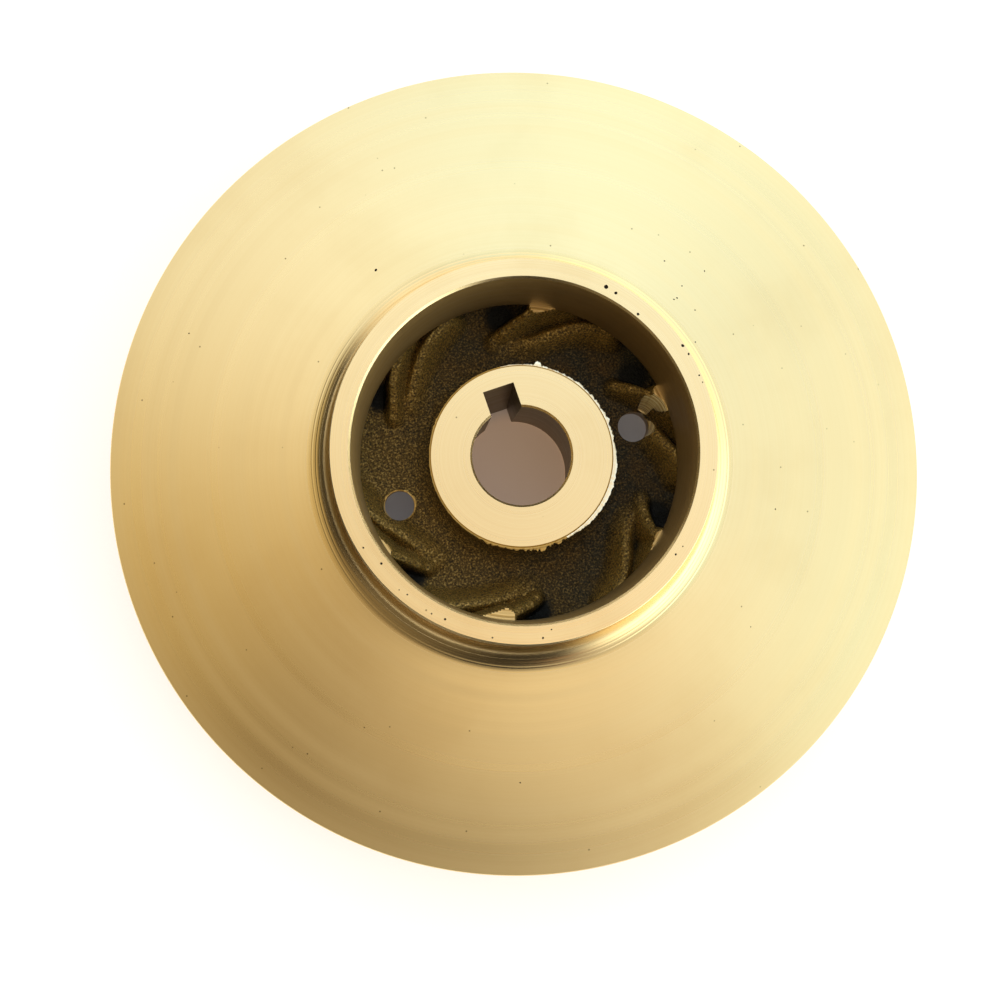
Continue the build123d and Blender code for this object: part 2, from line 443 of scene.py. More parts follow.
@dataclass
class Outline:
    """A closed outline in the plane of the axis, in millimetres, that is turned into a ring.

    Attributes:
        points: Radius and height of each corner, in order.
        finishes: The number of the finish on the span that starts at each corner.
    """

    points: list[Pair] = field(default_factory=list)
    finishes: list[int] = field(default_factory=list)

    def run(self, finish: int, *corners: Pair, steps: int = 1) -> None:
        """Adds straight spans from the last corner through the given ones.

        Args:
            finish: The number of the finish on these spans.
            *corners: Radius and height of each corner.
            steps: How many spans each straight is divided into.
        """
        for corner in corners:
            if not self.points:
                self.points.append(corner)
                continue
            start = self.points[-1]
            for step in range(1, steps + 1):
                share = step / steps
                self.points.append(
                    (
                        start[0] + (corner[0] - start[0]) * share,
                        start[1] + (corner[1] - start[1]) * share,
                    )
                )
                self.finishes.append(finish)

    def sweep(self, finish: int, centre: Pair, reach: Pair, turn: Pair, steps: int) -> None:
        """Adds a round sweep that goes on from the last corner.

        Args:
            finish: The number of the finish on the sweep.
            centre: Radius and height of the sweep's centre.
            reach: The sweep's half width across and along the axis.
            turn: The first and last angle in degrees, from outwards towards +Z.
            steps: How many spans the sweep is divided into.
        """
        for step in range(1, steps + 1):
            angle = math.radians(turn[0] + (turn[1] - turn[0]) * step / steps)
            self.points.append(
                (centre[0] + reach[0] * math.cos(angle), centre[1] + reach[1] * math.sin(angle))
            )
            self.finishes.append(finish)

    def close(self, finish: int) -> None:
        """Closes the outline with a last span of this finish, back to its first corner."""
        self.finishes.append(finish)

    def lathe(self, segments: int) -> BMesh:
        """Turns the outline round the axis into a closed ring.

        Args:
            segments: The number of flats round the ring.

        Returns:
            The ring, in metres.
        """
        made = bmesh.new()
        rows = []
        for segment in range(segments):
            angle = TURN * segment / segments
            across, along = math.cos(angle) * MM, math.sin(angle) * MM
            rows.append([made.verts.new((r * across, r * along, z * MM)) for r, z in self.points])
        close_ring(made, rows, lambda segment, place: self.finishes[place])
        return made


def to_piece(
    name: str,
    shape: BMesh,
    finishes: Sequence[bpy.types.Material],
    sharp_deg: float = SHARP_DEG,
) -> bpy.types.Object:
    """Makes a named piece of the impeller from a mesh, and frees the mesh.

    Args:
        name: The piece's name.
        shape: The mesh.
        finishes: The materials that the faces number.
        sharp_deg: The angle between two faces above which their edge is shaded sharp.

    Returns:
        The piece, linked to the scene.
    """
    mesh = bpy.data.meshes.new(name)
    shape.to_mesh(mesh)
    shape.free()
    for finish in finishes:
        mesh.materials.append(finish)
    mesh.set_sharp_from_angle(angle=math.radians(sharp_deg))
    piece = bpy.data.objects.new(name, mesh)
    bpy.context.scene.collection.objects.link(piece)
    return piece


def apply_modifiers(piece: bpy.types.Object) -> None:
    """Makes a piece's modifiers final.

    Args:
        piece: The piece, whose mesh is replaced by the changed one.
    """
    bpy.context.view_layer.update()
    shown = piece.evaluated_get(bpy.context.evaluated_depsgraph_get())
    mesh = bpy.data.meshes.new_from_object(shown)
    old = piece.data
    piece.modifiers.clear()
    piece.data = mesh
    mesh.name = old.name
    bpy.data.meshes.remove(old)


def cut_away(piece: bpy.types.Object, cutter: bpy.types.Object) -> None:
    """Cuts one closed shape out of a piece; the cut faces keep the cutter's own finish.

    Args:
        piece: What is cut.
        cutter: The shape of the cut, which is removed afterwards.
    """
    change = piece.modifiers.new("cut", "BOOLEAN")
    change.operation = "DIFFERENCE"
    change.solver = "EXACT"
    change.material_mode = "TRANSFER"
    change.object = cutter
    apply_modifiers(piece)
    mesh = cutter.data
    bpy.data.objects.remove(cutter)
    bpy.data.meshes.remove(mesh)


def rod(
    centre: Pair,
    radius: float,
    low: float,
    high: float,
    top_radius: float | None = None,
    sides: int = 96,
) -> BMesh:
    """An upright round rod, as a drill leaves its hole.

    Args:
        centre: Where its axis stands, in millimetres.
        radius: Its radius in millimetres.
        low: The height of its lower end.
        high: The height of its upper end.
        top_radius: The radius at its upper end, where that differs.
        sides: The number of flats round it.

    Returns:
        The closed rod, in metres.
    """
    made = bmesh.new()
    middle = Vector((centre[0], centre[1], (low + high) / 2)) * MM
    bmesh.ops.create_cone(
        made, cap_ends=True, segments=sides, radius1=radius * MM,
        radius2=(top_radius or radius) * MM, depth=(high - low) * MM,
        matrix=Matrix.Translation(middle),
    )
    return made


def merged(parts: Sequence[BMesh]) -> BMesh:
    """Puts several meshes into one, and frees them.

    Args:
        parts: The meshes.

    Returns:
        One mesh with all their faces.
    """
    made = bmesh.new()
    for part in parts:
        carried = bpy.data.meshes.new("carried")
        part.to_mesh(carried)
        part.free()
        made.from_mesh(carried)
        bpy.data.meshes.remove(carried)
    return made


def ripple(place: Vector, grain_mm: float, seed: float) -> float:
    """Smooth noise of about -1 to 1 at a place in metres, shifted by its seed."""
    return noise.noise(place / (grain_mm * MM) + Vector((seed, seed * 0.37, -seed * 0.71)))


# ---- the impeller's own shape ----------------------------------------------------------


@dataclass(frozen=True)
class Sizes:
    """The sizes that the impeller's pieces share, in millimetres and degrees."""

    outer_radius: float = 105.0
    floor_height: float = 17.2
    boss_height: float = 13.5
    roof_edge: float = 22.8
    rim_front: float = 26.0
    throat: float = 29.9
    hub_length: float = 40.4
    ring_face: float = 53.7
    hub_radius: float = 22.9
    hub_root: float = 6.0
    ring_radius: float = 45.8
    eye_radius: float = 40.7
    cone_angle: float = 11.5
    roof_angle: float = 4.7
    hole_radius: float = 4.1
    hole_circle: float = 33.1
    vane_angle: float = 25.5
    outlet_break: float = 0.15

    def drills(self, low: float, high: float) -> BMesh:
        """The two rods that cut the balance holes, from one height to another."""
        return merged(
            [rod((side * self.hole_circle, 0), self.hole_radius, low, high) for side in (1, -1)]
        )

    def cone(self, radius: float) -> float:
        """The height of the front shroud's outer face, at a distance from the axis."""
        return self.rim_front + (self.outer_radius - radius) * math.tan(
            math.radians(self.cone_angle)
        )

    def roof(self, radius: float) -> float:
        """The height of the waterway's roof, at a distance from the axis."""
        return self.roof_edge + (self.outer_radius - radius) * math.tan(
            math.radians(self.roof_angle)
        )


@dataclass
class FrontShroud:
    """The conical front shroud with its wear ring, flare and turned eye."""

    sizes: Sizes
    finishes: Finishes
    collar_radius: float = 46.5
    collar_top: float = 45.3
    flare_radius: float = 8.7
    flare_start: float = 45.02
    flare_end: Pair = (53.46, 36.49)
    ring_chamfer: float = 0.18
    eye_chamfer: float = 0.75
    # Under its chamfer the eye narrows by the first over a depth of the second.
    eye_lead: Pair = (0.28, 2.0)
    flare_foot: float = 258.5
    flare_ridges: tuple[float, ...] = (249.0, 241.0, 232.5)
    ridge_rise: float = 0.05
    lip_reach: float = 4.6
    edge_break: float = 0.25
    segments: int = 720

    # Gas pits that the lathe opened: radius, direction in degrees and width. Their middles
    # stand a little above the face, so that each is wider than it is deep.
    pit_rise: float = 0.05
    ring_pits: tuple[Triple, ...] = (
        (43.5, 44.5, 1.05), (43.3, 40.9, 0.8), (42.2, 31.2, 0.7), (42.9, 199.9, 0.6),
        (44.2, 192.8, 0.55), (43.7, 212.3, 0.4), (44.2, 221.6, 0.45), (43.9, 226.0, 0.6),
        (44.1, 209.5, 0.35), (44.7, 241.2, 0.4), (42.6, 259.2, 0.45), (44.3, 256.3, 0.5),
        (43.1, 306.0, 0.5), (43.5, 309.3, 0.35), (45.1, 14.5, 0.7), (45.2, 11.4, 0.5),
        (45.1, 4.2, 0.45), (45.2, 1.9, 0.4),
    )
    cone_pits: tuple[Triple, ...] = (
        (60.4, 108.5, 0.8), (63.3, 35.1, 0.45), (68.4, 26.8, 0.4), (57.5, 26.9, 0.5),
        (56.6, 27.2, 0.4), (60.9, 28.1, 0.4), (58.8, 21.6, 0.4), (53.4, 14.8, 0.4),
        (81.0, 251.0, 0.4), (72.0, 305.0, 0.35), (91.0, 140.0, 0.4), (66.0, 330.0, 0.4),
    )

    def outline(self) -> Outline:
        """The shroud's section, from its rim up over the ring and back under the roof.

        Returns:
            The closed section.
        """
        s = self.sizes
        made = Outline()
        break_height = s.cone(s.outer_radius - self.edge_break)
        made.run(0, (s.outer_radius - self.edge_break, break_height))
        made.run(0, self.flare_end, steps=16)
        centre = (self.collar_radius + self.flare_radius, self.flare_start)
        # The form tool that cut the flare left fine ridges where it stepped round it.
        start = self.flare_foot
        for ridge in self.flare_ridges:
            made.sweep(1, centre, (self.flare_radius,) * 2, (start, ridge + 1.0), 6)
            raised = self.flare_radius - self.ridge_rise
            made.sweep(1, centre, (raised, raised), (ridge + 0.5, ridge - 0.2), 2)
            start = ridge - 0.9
        made.sweep(1, centre, (self.flare_radius,) * 2, (start, 180.0), 16)
        made.run(1, (self.collar_radius, self.collar_top))
        made.run(3, (s.ring_radius, self.collar_top + self.collar_radius - s.ring_radius))
        made.run(2, (s.ring_radius, s.ring_face - self.ring_chamfer), steps=3)
        made.run(3, (s.ring_radius - self.ring_chamfer, s.ring_face))
        made.run(2, (s.eye_radius + self.eye_chamfer, s.ring_face), steps=3)
        made.run(3, (s.eye_radius + self.eye_lead[0], s.ring_face - self.eye_chamfer * 0.7))
        made.run(4, (s.eye_radius, s.ring_face - self.eye_lead[1]), (s.eye_radius, s.throat),
                 steps=6)
        lip_end = s.eye_radius + self.lip_reach
        made.sweep(
            5, (lip_end, s.throat), (self.lip_reach, s.throat - s.roof(lip_end)), (180, 270), 10
        )
        outlet = s.outer_radius - s.outlet_break
        made.run(5, (outlet, s.roof(outlet)), steps=12)
        made.run(3, (s.outer_radius, s.roof_edge + s.outlet_break))
        made.run(0, (s.outer_radius, s.rim_front - self.edge_break))
        made.close(3)
        return made

    def pits(self) -> BMesh:
        """The shapes of the gas pits, as uneven balls that are cut away.

        Returns:
            All of them in one mesh, in metres.
        """
        parts = []
        places = [(r, a, w, self.sizes.ring_face) for r, a, w in self.ring_pits]
        places += [(r, a, w, self.sizes.cone(r)) for r, a, w in self.cone_pits]
        for number, (radius, direction, width, height) in enumerate(places):
            ball = bmesh.new()
            bmesh.ops.create_icosphere(ball, subdivisions=2, radius=width / 2 * MM)
            stretch = 1.0 + 0.45 * noise.noise(Vector((number * 1.7, 0.3, 0.9)))
            for vert in ball.verts:
                vert.co *= 1 + 0.22 * ripple(vert.co, width * 0.5, number * 3.1)
                vert.co.x *= stretch
            spin = Matrix.Rotation(number * 2.4, 4, "Z")
            middle = Vector((*polar(radius, direction), height + self.pit_rise))
            bmesh.ops.transform(ball, matrix=Matrix.Translation(middle * MM) @ spin,
                                verts=ball.verts)
            parts.append(ball)
        return merged(parts)

    def build(self) -> list[bpy.types.Object]:
        """Builds the shroud.

        Returns:
            Its one piece.
        """
        f = self.finishes
        slots = [f.shroud, f.flare, f.face, f.edge, f.bore, f.cast]
        piece = to_piece("front_shroud", self.outline().lathe(self.segments), slots)
        cut_away(piece, to_piece("pit_cutter", self.pits(), [f.pit]))
        piece.data.set_sharp_from_angle(angle=math.radians(SHARP_DEG))
        return [piece]


@dataclass
class BackShroud:
    """The flat back shroud with its own wear ring, and the floor of the waterway."""

    sizes: Sizes
    finishes: Finishes
    hub_reach: float = 22.0
    sunk_from: float = 50.0
    sunk: float = 0.6
    ring_wall: float = 5.1
    ring_setback: float = 2.0
    ring_chamfer: float = 0.6
    root: float = 1.8
    edge_break: float = 0.25
    segments: int = 540

    def outline(self) -> Outline:
        """The shroud's section, from the rim along the floor and back behind the ring.

        Returns:
            The closed section.
        """
        s = self.sizes
        inner = s.ring_radius - self.ring_wall
        made = Outline()
        made.run(0, (s.outer_radius, s.boss_height + self.edge_break))
        made.run(0, (s.outer_radius, s.floor_height - s.outlet_break))
        made.run(1, (s.outer_radius - s.outlet_break, s.floor_height))
        # Inside the eye the cast skin is the floor, so this one lies a little lower.
        sunk = s.floor_height - self.sunk
        made.run(2, (self.sunk_from, s.floor_height), (self.sunk_from - 1, sunk), steps=8)
        made.run(2, (self.hub_reach, sunk), (self.hub_reach, s.boss_height))
        made.run(2, (s.hub_radius + self.root, s.boss_height))
        made.run(2, (inner - self.root, s.boss_height), steps=3)
        made.run(2, (inner, s.boss_height - self.root))
        made.run(3, (inner, self.ring_setback + self.ring_chamfer), steps=2)
        made.run(1, (inner + self.ring_chamfer, self.ring_setback))
        made.run(4, (s.ring_radius - self.ring_chamfer, self.ring_setback), steps=2)
        made.run(1, (s.ring_radius, self.ring_setback + self.ring_chamfer))
        made.run(4, (s.ring_radius, s.boss_height - self.root), steps=2)
        made.run(0, (s.ring_radius + self.root, s.boss_height))
        made.run(0, (s.outer_radius - self.edge_break, s.boss_height), steps=10)
        made.close(1)
        return made

    def build(self) -> list[bpy.types.Object]:
        """Builds the shroud.

        Returns:
            Its one piece.
        """
        s, f = self.sizes, self.finishes
        slots = [f.shroud, f.edge, f.cast, f.bore, f.face]
        piece = to_piece("back_shroud", self.outline().lathe(self.segments), slots)
        cut_away(piece, to_piece("drill", s.drills(s.boss_height - 3, s.throat), [f.drilled]))
        piece.data.set_sharp_from_angle(angle=math.radians(SHARP_DEG))
        return [piece]


@dataclass
class Hub:
    """The hub: its faces, its tapered bore and the keyway."""

    sizes: Sizes
    finishes: Finishes
    side_radius: float = 22.6
    chamfer: float = 0.5
    bore_front: float = 12.25
    bore_back: float = 14.5
    bore_chamfer: float = 0.5
    keyway_width: float = 8.0
    keyway_reach: float = 18.0
    root: float = 1.8
    # How far the boss's foot reaches into the shroud, across and along the axis.
    bite: Pair = (0.6, 1.2)
    segments: int = 360

    def outline(self) -> Outline:
        """The hub's section: face, chamfers, taper and the boss behind the shroud.

        Returns:
            The closed section.
        """
        s = self.sizes
        face = s.hub_radius - self.chamfer
        made = Outline()
        made.run(0, (face, s.hub_length))
        made.run(0, (self.bore_front + self.bore_chamfer, s.hub_length), steps=4)
        made.run(2, (self.bore_front, s.hub_length - self.bore_chamfer))
        made.run(1, (self.bore_back, self.bore_chamfer), steps=8)
        made.run(2, (self.bore_back + self.bore_chamfer, 0.0))
        made.run(0, (s.hub_radius - self.chamfer, 0.0), steps=3)
        made.run(2, (s.hub_radius, self.chamfer))
        made.run(3, (s.hub_radius, s.boss_height - self.root), steps=4)
        made.run(3, (s.hub_radius + self.root, s.boss_height))
        # From here up the cast skin is the hub's side, so this one stands inside it.
        in_by, up_by = self.bite
        made.run(3, (s.hub_radius - in_by, s.boss_height + up_by))
        made.run(3, (self.side_radius, s.boss_height + 2), (self.side_radius, s.hub_length - 1.2))
        made.run(4, (s.hub_radius, s.hub_length - self.chamfer))
        made.close(4)
        return made

    def build(self) -> list[bpy.types.Object]:
        """Builds the hub.

        Returns:
            Its one piece.
        """
        s, f = self.sizes, self.finishes
        slots = [f.face, f.shaded_bore, f.edge, f.bore, f.rubbed]
        piece = to_piece("hub", self.outline().lathe(self.segments), slots)
        slot = bmesh.new()
        size = Vector((self.keyway_width, self.keyway_reach, s.hub_length + 4)) * MM
        middle = Vector((0, self.keyway_reach / 2, s.hub_length / 2)) * MM
        bmesh.ops.create_cube(slot, size=1.0, matrix=Matrix.LocRotScale(middle, None, size))
        cut_away(piece, to_piece("keyway_cutter", slot, [f.shaded_bore]))
        piece.data.set_sharp_from_angle(angle=math.radians(SHARP_DEG))
        return [piece]


@dataclass
class VaneSet:
    """The six vanes: where each stands, and its wall from the cast floor out to the rim.

    Attributes:
        wall: The thickness at the top, in millimetres.
        draft: What the thickness gains down to the floor.
        slim: How far each flank stands back, so that no face lies on the cast skin's own.
        bite: How far a wall reaches into the floor and the roof.
        start: The radius at which the walls start, inside the cast skin.
        tail_gap: How far a flank's last point stands in from the rim.
        rim_gap: How far in from the rim every point is kept.
        phase: The mean direction in which a vane leaves the eye, in degrees.
        drift: How far each vane stands off its even place, in degrees.
        steps: The number of spans along a flank.
        front_steps: The number of spans round the front.
    """

    sizes: Sizes
    wall: float = 4.0
    draft: float = 2.0
    slim: float = 0.1
    bite: float = 0.3
    start: float = 46.0
    tail_gap: float = 0.1
    rim_gap: float = 0.05
    phase: float = 7.6
    drift: tuple[float, ...] = (-1.6, -3.4, -3.6, 6.9, -2.1, 3.9)
    steps: int = 26
    front_steps: int = 12

    def heading(self, number: int) -> float:
        """The direction in which a vane leaves the eye, in degrees."""
        return self.phase + self.drift[number] + number * 360 / len(self.drift)

    def place(self, radius: float, side: float, number: int) -> Pair:
        """A point beside a vane's middle line.

        Args:
            radius: Where on the middle line, in millimetres from the axis.
            side: How far to the outer side of the line.
            number: Which vane.

        Returns:
            The point's x and y.
        """
        slope = math.radians(self.sizes.vane_angle)
        turn = math.radians(self.heading(number))
        turn -= math.log(radius / self.sizes.eye_radius) / math.tan(slope)
        facing = turn + slope
        return (
            radius * math.cos(turn) + side * math.cos(facing),
            radius * math.sin(turn) + side * math.sin(facing),
        )

    def section(self, number: int, height: float) -> list[Pair]:
        """A vane's outline at one height.

        Args:
            number: Which vane.
            height: The height of the section.

        Returns:
            The outline's points, in order round the vane.
        """
        s = self.sizes
        drop, rise = s.throat - height, s.throat - s.floor_height
        half = (self.wall + drop * self.draft / rise) / 2 - self.slim
        tail = s.outer_radius - self.tail_gap
        radii = [
            self.start * (tail / self.start) ** (step / self.steps)
            for step in range(self.steps + 1)
        ]
        outer = [self.place(radius, half, number) for radius in radii]
        inner = [self.place(radius, -half, number) for radius in reversed(radii)]
        centre = Vector(self.place(self.start, 0.0, number))
        edge = Vector(self.place(self.start, -half, number)) - centre
        front = []
        for step in range(1, self.front_steps):
            turned = edge.copy()
            turned.rotate(Matrix.Rotation(-math.pi * step / self.front_steps, 2))
            front.append(tuple(centre + turned))
        # The rim's turning also trims the vanes' tails.
        trimmed = []
        for x, y in outer + inner + front:
            scale = min(1.0, (s.outer_radius - self.rim_gap) / math.hypot(x, y))
            trimmed.append((x * scale, y * scale))
        return trimmed

    def wall_of(self, number: int) -> BMesh:
        """Builds one vane's wall, from inside the floor up into the roof.

        Args:
            number: Which vane.

        Returns:
            The closed wall, in metres.
        """
        s = self.sizes
        made = bmesh.new()
        sunk = s.floor_height - self.bite
        lower = [
            made.verts.new((x * MM, y * MM, sunk * MM)) for x, y in self.section(number, sunk)
        ]
        upper = [
            made.verts.new((x * MM, y * MM, (s.roof(math.hypot(x, y)) + self.bite) * MM))
            for x, y in self.section(number, s.throat)
        ]
        count = len(lower)
        for place in range(count):
            after = (place + 1) % count
            made.faces.new((lower[place], lower[after], upper[after], upper[place]))
        made.faces.new(list(reversed(lower)))
        made.faces.new(upper)
        bmesh.ops.recalc_face_normals(made, faces=made.faces)
        return made


@dataclass(frozen=True)
class Ridge:
    """A soft ridge that stands up from the cast floor.

    Attributes:
        run: Radius, direction in degrees and height of each place along its crest, from the
            rim's side towards the hub.
        flat: Half the width of its rounded crest, in millimetres.
        outer: The width of its flank on the side away from the hub.
        inner: The width of its flank on the hub's side.
    """

    run: tuple[Triple, ...]
    flat: float = 0.3
    outer: float = 2.4
    inner: float = 4.4

    def crest(self) -> list[Triple]:
        """Gives the x, y and height of each of the crest's places."""
        return [(*polar(radius, turn), height) for radius, turn, height in self.run]

    def rise(self, crest: Sequence[Triple], x: float, y: float, base: float) -> float:
        """How far the ridge lifts one place above the floor.

        Args:
            crest: The crest's places, as crest() gives them.
            x: Where, in millimetres.
            y: Where, in millimetres.
            base: The floor's own height there.

        Returns:
            The lift in millimetres, from 0.
        """
        best = 0.0
        reach = self.flat + max(self.outer, self.inner)
        for (x0, y0, z0), (x1, y1, z1) in zip(crest, crest[1:]):
            along, up = x1 - x0, y1 - y0
            length = along * along + up * up
            share = min(1.0, max(0.0, ((x - x0) * along + (y - y0) * up) / length))
            off_x, off_y = x - x0 - along * share, y - y0 - up * share
            away = math.hypot(off_x, off_y)
            if away >= reach:
                continue
            side = (up * off_x - along * off_y) / (math.sqrt(length) * away) if away else 0.0
            flank = self.inner + (self.outer - self.inner) * (side + 1) / 2
            fallen = min(1.0, max(0.0, (away - self.flat) / flank))
            held = 1 - fallen * fallen * (3 - 2 * fallen)
            best = max(best, (z0 + (z1 - z0) * share - base) * held)
        return best


@dataclass(frozen=True)
class VaneNose:
    """One vane where it leaves the eye: its cut end, its thumb and the ridge beside it.

    Attributes:
        end: Radius and direction in degrees of the round end of its full height.
        half: Half its thickness at full height, in millimetres.
        thumb: Radius, direction and height along the thumb that slopes down from its end.
        beside: The same along the lower ridge on its hub side.
        shade_spot: Where the passage behind it is painted in shade: radius, direction and reach.
    """

    end: Pair
    half: float
    thumb: tuple[Triple, ...]
    beside: tuple[Triple, ...]
    shade_spot: Triple


@dataclass
class Waterway:
    """The sand-cast inside: floor, hub root, vane noses and the vanes out to the rim.

    Attributes:
        cast_reach: The radius at which the skin ends, out of sight under the shroud.
        skin_depth: How far the closed skin reaches below the floor, in millimetres.
        skin_bite: How far it reaches into the hub.
        skin_top: How far under the hub's face it ends.
        columns: The number of steps round the axis.
        row_step: The width of a row of faces on the floor.
        side_steps: The number of rows up the hub's side.
        root_steps: The number of rows round the hub's root.
        fade_steps: Over how many of those the ridges fade out towards the hub.
        near_from: A crest counts for a column if it reaches further than this towards it.
        blend: How softly ridges run into each other.
        body_top: The height of the vanes' bodies before they are bored off.
        body_radii: Where a body's crest is placed, from the rim's side.
        body_flanks: The width of a body's outer and inner flank.
        thumb_shape: A thumb's flat, outer and inner width.
        beside_shape: The same for the ridge beside it.
        dark_height: The lift at which a ridge stands clear of the painted shade.
        worn_height: The lift at which a ridge is worn golden all over.
        lit_from: In degrees; the floor's side away from it is painted golden as painted light.
        grains: The width of a swell in millimetres, its seed and how far it moves the skin,
            from the broadest to the finest.
        slip_place: Where the drill slipped to, over the right-hand hole.
        slip_radii: The lower and upper radius of the half-round that it left.
        slip_low: The height of the half-round's lower end.
        noses: The vanes' noses, in order round the eye.
    """

    sizes: Sizes
    finishes: Finishes
    vanes: VaneSet
    cast_reach: float = 49.5
    skin_depth: float = 2.6
    skin_bite: float = 1.4
    skin_top: float = 0.75
    columns: int = 760
    row_step: float = 0.36
    side_steps: int = 24
    root_steps: int = 16
    fade_steps: int = 10
    near_from: float = 24.0
    blend: float = 0.55
    body_top: float = 31.5
    body_radii: tuple[float, ...] = (50.5, 48.0, 46.0, 44.4)
    body_flanks: Pair = (1.5, 2.6)
    thumb_shape: Triple = (0.7, 2.3, 3.0)
    beside_shape: Triple = (0.3, 3.2, 5.4)
    dark_height: float = 5.0
    worn_height: float = 4.5
    lit_from: float = 5.0
    grains: tuple[Triple, ...] = ((7.0, 1.0, 0.22), (2.6, 5.0, 0.14), (1.1, 9.0, 0.11))
    slip_place: Pair = (33.6, 0.5)
    slip_radii: Pair = (4.0, 7.2)
    slip_low: float = 18.6
    noses: tuple[VaneNose, ...] = (
        VaneNose(
            (41.0, 7.4), 1.7,
            ((39.2, 6.5, 29.0), (38.1, 9.6, 27.6), (36.0, 14.4, 24.6), (33.7, 20.1, 20.8)),
            ((43.5, 338.0, 26.5), (40.9, 345.4, 26.0), (38.6, 350.5, 25.0), (37.3, 355.9, 22.5)),
            (39.6, 18.9, 5.2),
        ),
        VaneNose(
            (40.8, 64.6), 1.6,
            ((39.7, 65.4, 29.5), (38.5, 68.2, 28.4), (37.1, 72.3, 25.5), (35.5, 77.1, 22.6),
             (34.1, 81.7, 19.6)),
            ((43.2, 36.0, 24.0), (42.0, 42.0, 24.0), (40.5, 47.0, 24.0), (38.3, 52.0, 23.6),
             (35.7, 58.0, 22.6), (33.6, 64.0, 21.5), (32.9, 70.8, 20.0), (32.6, 78.0, 18.6)),
            (40.4, 77.4, 5.4),
        ),
        VaneNose(
            (43.3, 117.6), 1.7,
            ((41.4, 119.4, 29.6), (40.5, 123.1, 28.4), (38.9, 128.7, 26.0), (36.9, 134.2, 23.2),
             (35.4, 139.6, 20.2)),
            ((42.6, 96.5, 25.5), (41.2, 101.5, 25.5), (40.3, 106.5, 25.3), (39.0, 111.4, 24.4),
             (37.2, 117.3, 23.2), (35.1, 123.9, 21.4), (33.1, 131.5, 19.4)),
            (41.0, 134.2, 5.4),
        ),
        VaneNose(
            (41.7, 195.2), 1.7,
            ((40.6, 196.9, 29.4), (38.8, 201.4, 26.8), (37.2, 206.1, 23.8), (36.0, 209.9, 20.6)),
            ((43.2, 172.5, 25.2), (40.8, 180.4, 25.2), (38.9, 185.4, 24.9), (36.7, 190.2, 23.8),
             (35.0, 196.1, 22.3), (33.9, 202.9, 20.8), (33.2, 209.8, 19.0)),
            (39.6, 207.2, 5.0),
        ),
        VaneNose(
            (40.4, 246.2), 2.0,
            ((39.6, 247.6, 29.6), (38.2, 251.6, 27.9), (37.0, 255.8, 25.2), (35.8, 258.6, 22.0)),
            ((43.4, 219.5, 26.2), (41.4, 226.0, 26.2), (39.6, 230.9, 26.0), (37.7, 236.9, 24.9),
             (36.0, 242.9, 23.4), (34.4, 250.0, 21.4), (33.2, 256.3, 19.0)),
            (39.2, 258.8, 5.2),
        ),
        VaneNose(
            (42.0, 312.8), 1.9,
            ((40.4, 311.9, 29.5), (39.1, 313.4, 28.4), (37.1, 316.8, 25.0), (35.3, 321.1, 21.7),
             (34.5, 325.5, 19.6)),
            ((43.6, 284.5, 25.2), (41.2, 291.5, 25.2), (39.7, 295.5, 25.1), (37.8, 299.5, 24.6),
             (35.7, 303.7, 23.6), (34.0, 309.0, 22.0), (33.1, 316.4, 20.0)),
            (39.6, 321.9, 5.0),
        ),
    )

    def rows(self) -> list[Triple]:
        """The floor's own section, from the hub's side outwards.

        Returns:
            Radius, height and how far the ridges count, for each row of the mesh.
        """
        s = self.sizes
        top, low = s.hub_length - self.skin_top, s.floor_height + s.hub_root
        made = [(s.hub_radius - self.skin_bite, top, 0.0)]
        for step in range(self.side_steps + 1):
            made.append((s.hub_radius, top - (top - low) * step / self.side_steps, 0.0))
        for step in range(1, self.root_steps + 1):
            turn = math.radians(180 + 90 * step / self.root_steps)
            radius = s.hub_radius + s.hub_root * (1 + math.cos(turn))
            height = s.floor_height + s.hub_root * (1 + math.sin(turn))
            made.append((radius, height, min(1.0, step / self.fade_steps)))
        start = s.hub_radius + s.hub_root
        count = round((self.cast_reach - start) / self.row_step)
        for step in range(1, count + 1):
            radius = start + (self.cast_reach - start) * step / count
            made.append((radius, s.floor_height, 1.0))
        return made

    def ridges(self) -> list[Ridge]:
        """Every ridge of the floor: bodies, thumbs and the ridges beside them.

        Returns:
            The ridges, three for each vane.
        """
        made = []
        for number, nose in enumerate(self.noses):
            body = []
            for radius in self.body_radii:
                x, y = self.vanes.place(radius, 0.0, number)
                body.append((radius, math.degrees(math.atan2(y, x)), self.body_top))
            body.append((*nose.end, self.body_top))
            made.append(Ridge(tuple(body), nose.half, *self.body_flanks))
            tip = (*nose.end, self.sizes.throat)
            made.append(Ridge((tip, *nose.thumb), *self.thumb_shape))
            made.append(Ridge(nose.beside, *self.beside_shape))
        return made

    def build(self) -> list[bpy.types.Object]:
        """Builds the waterway.

        Returns:
            The cast floor with the noses, and the vanes beyond them.
        """
        f, s = self.finishes, self.sizes
        piece = self.cast_floor()
        cut_away(piece, to_piece("drill", s.drills(s.boss_height, s.throat + 1), [f.drilled]))
        # Over the right-hand hole the drill slipped and flared a half-round into the vane.
        low_radius, top_radius = self.slip_radii
        flared = rod(self.slip_place, low_radius, self.slip_low, s.throat + 1, top_radius)
        # The half-round's pale finish is a painted highlight.
        cut_away(piece, to_piece("drill", flared, [f.slip_glint]))
        tails = [self.vanes.wall_of(number) for number in range(len(self.vanes.drift))]
        walls = to_piece("vane_walls", merged(tails), [f.cast], sharp_deg=40)
        return [piece, walls]

